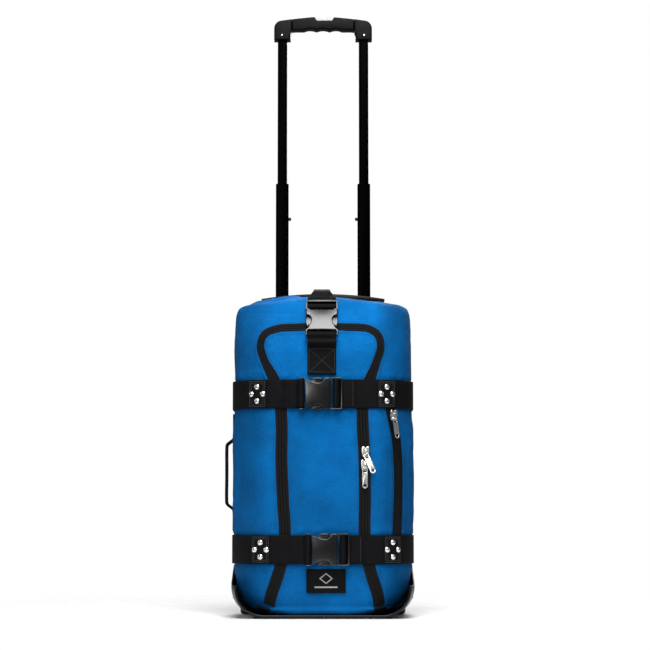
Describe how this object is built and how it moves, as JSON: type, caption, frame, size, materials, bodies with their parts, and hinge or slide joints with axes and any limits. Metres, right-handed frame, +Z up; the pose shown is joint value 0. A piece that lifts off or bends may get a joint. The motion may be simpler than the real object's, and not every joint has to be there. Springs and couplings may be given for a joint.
{
  "type": "rolling bag",
  "caption": "Soft upright rolling bag with buckled straps, bell-shaped zip panel, telescoping handle and a moulded base tray on wheels.",
  "frame": {"origin": "on the floor under the middle of the bag's bounding box", "axes": "+Z up along the drawn-out handle, the front panel faces -Y, the wheels and handle are at +Y, +X is the bag's right seen from the front"},
  "size_m": [0.3378, 0.2254, 1.0974],
  "materials": {
    "bag_fabric": "woven nylon, matt",
    "panel_fabric": "padded mesh fabric, matt",
    "webbing": "ribbed nylon webbing",
    "zip_tape": "coated tape with a covered coil",
    "buckle_plastic": "satin acetal",
    "nickel": "bright nickel plate",
    "moulded_plastic": "fine textured",
    "board_plastic": "smooth",
    "anodised_tube": "black anodised, satin",
    "grip_plastic": "soft touch",
    "button_plastic": "satin",
    "tyre_rubber": "matt",
    "foot_rubber": "matt",
    "hub_plastic": "satin",
    "axle_steel": "zinc plated",
    "patch_plastic": "embossed, satin"
  },
  "bodies": {
    "bag": {"base_tray": "moulded_plastic", "foot_left": "foot_rubber", "foot_right": "foot_rubber", "axle_left": "axle_steel", "axle_right": "axle_steel", "outer_tube_left": "anodised_tube", "outer_tube_right": "anodised_tube", "tube_bracket": "moulded_plastic", "handle_bezel": "moulded_plastic", "main_shell": "bag_fabric", "front_flap": "bag_fabric", "back_panel": "panel_fabric", "frame_board": "board_plastic", "main_zip": "zip_tape", "pocket_zip": "zip_tape", "zip_end_tab_left": "webbing", "zip_end_tab_right": "webbing", "upper_buckle_female": "buckle_plastic", "upper_buckle_male": "buckle_plastic", "upper_strap_left": "webbing", "upper_strap_right": "webbing", "lower_buckle_female": "buckle_plastic", "lower_buckle_male": "buckle_plastic", "lower_strap_left": "webbing", "lower_strap_right": "webbing", "upper_rivets_left": "nickel", "upper_rivets_right": "nickel", "lower_rivets_left": "nickel", "lower_rivets_right": "nickel", "top_buckle_female": "buckle_plastic", "top_buckle_male": "buckle_plastic", "top_strap_lower": "webbing", "top_strap_upper": "webbing", "top_handle": "webbing", "side_handle": "webbing", "name_patch": "patch_plastic"},
    "middle_stage": {"middle_tube_left": "anodised_tube", "middle_tube_right": "anodised_tube", "lock_pin_left": "moulded_plastic", "lock_pin_right": "moulded_plastic"},
    "inner_stage": {"inner_tube_left": "anodised_tube", "inner_tube_right": "anodised_tube", "grip": "grip_plastic"},
    "grip_button": {"grip_button": "button_plastic"},
    "wheel_left": {"tyre_left": "tyre_rubber", "hub_left": "hub_plastic"},
    "wheel_right": {"tyre_right": "tyre_rubber", "hub_right": "hub_plastic"},
    "upper_buckle_arm_a": {"upper_buckle_arm_a": "buckle_plastic"},
    "upper_buckle_arm_b": {"upper_buckle_arm_b": "buckle_plastic"},
    "lower_buckle_arm_a": {"lower_buckle_arm_a": "buckle_plastic"},
    "lower_buckle_arm_b": {"lower_buckle_arm_b": "buckle_plastic"},
    "top_buckle_arm_a": {"top_buckle_arm_a": "buckle_plastic"},
    "top_buckle_arm_b": {"top_buckle_arm_b": "buckle_plastic"},
    "upper_slider": {"upper_slider": "nickel"},
    "upper_pull": {"upper_pull": "nickel"},
    "lower_slider": {"lower_slider": "nickel"},
    "lower_pull": {"lower_pull": "nickel"},
    "pocket_slider": {"pocket_slider": "nickel"},
    "pocket_pull": {"pocket_pull": "nickel"}
  },
  "joints": [
    {"name": "middle_stage_slide", "type": "slide", "parent": "bag", "child": "middle_stage", "axis": [0, 0, 1], "range_m": [-0.254, 0]},
    {"name": "inner_stage_slide", "type": "slide", "parent": "middle_stage", "child": "inner_stage", "axis": [0, 0, 1], "range_m": [-0.2625, 0]},
    {"name": "grip_button_press", "type": "slide", "parent": "inner_stage", "child": "grip_button", "axis": [0, 0, -1], "range_m": [0, 0.003], "stiffness_N_per_m": 400, "springref_m": -0.002},
    {"name": "wheel_left_spin", "type": "hinge", "parent": "bag", "child": "wheel_left", "pos_m": [-0.138, 0.074, 0.035], "axis": [1, 0, 0], "continuous": true},
    {"name": "wheel_right_spin", "type": "hinge", "parent": "bag", "child": "wheel_right", "pos_m": [0.138, 0.074, 0.035], "axis": [1, 0, 0], "continuous": true},
    {"name": "upper_buckle_arm_a_squeeze", "type": "hinge", "parent": "bag", "child": "upper_buckle_arm_a", "pos_m": [0.008, -0.109, 0.403], "axis": [0, -1, 0], "range_deg": [0, 9], "stiffness_Nm_per_rad": 0.4, "springref_deg": -5.73},
    {"name": "upper_buckle_arm_b_squeeze", "type": "hinge", "parent": "bag", "child": "upper_buckle_arm_b", "pos_m": [0.008, -0.109, 0.375], "axis": [0, 1, 0], "range_deg": [0, 9], "stiffness_Nm_per_rad": 0.4, "springref_deg": -5.73},
    {"name": "lower_buckle_arm_a_squeeze", "type": "hinge", "parent": "bag", "child": "lower_buckle_arm_a", "pos_m": [0.02, -0.109, 0.133], "axis": [0, -1, 0], "range_deg": [0, 9], "stiffness_Nm_per_rad": 0.4, "springref_deg": -5.73},
    {"name": "lower_buckle_arm_b_squeeze", "type": "hinge", "parent": "bag", "child": "lower_buckle_arm_b", "pos_m": [0.02, -0.109, 0.105], "axis": [0, 1, 0], "range_deg": [0, 9], "stiffness_Nm_per_rad": 0.4, "springref_deg": -5.73},
    {"name": "top_buckle_arm_a_squeeze", "type": "hinge", "parent": "bag", "child": "top_buckle_arm_a", "pos_m": [-0.016, -0.08575, 0.53154], "axis": [0, -0.8572, 0.515], "range_deg": [0, 9], "stiffness_Nm_per_rad": 0.4, "springref_deg": -5.73},
    {"name": "top_buckle_arm_b_squeeze", "type": "hinge", "parent": "bag", "child": "top_buckle_arm_b", "pos_m": [0.012, -0.08575, 0.53154], "axis": [0, 0.8572, -0.515], "range_deg": [0, 9], "stiffness_Nm_per_rad": 0.4, "springref_deg": -5.73},
    {"name": "upper_slider_run", "type": "slide", "parent": "bag", "child": "upper_slider", "axis": [-0.07, 0, 0.9975], "range_m": [0, 0.05]},
    {"name": "upper_pull_flip", "type": "hinge", "parent": "upper_slider", "child": "upper_pull", "pos_m": [0.074, -0.1057, 0.2846], "axis": [-0.9135, 0, -0.4067], "range_deg": [0, 100]},
    {"name": "lower_slider_run", "type": "slide", "parent": "bag", "child": "lower_slider", "axis": [0, 0, 1], "range_m": [-0.075, 0]},
    {"name": "lower_pull_flip", "type": "hinge", "parent": "lower_slider", "child": "lower_pull", "pos_m": [0.073, -0.1057, 0.2616], "axis": [-1, 0, 0], "range_deg": [0, 120]},
    {"name": "pocket_slider_run", "type": "slide", "parent": "bag", "child": "pocket_slider", "axis": [-0.128, -0.079, 0.9886], "range_m": [-0.06, 0]},
    {"name": "pocket_pull_flip", "type": "hinge", "parent": "pocket_slider", "child": "pocket_pull", "pos_m": [0.12492, -0.09514, 0.3486], "axis": [-0.8448, -0.5061, -0.1737], "range_deg": [0, 120]}
  ]
}
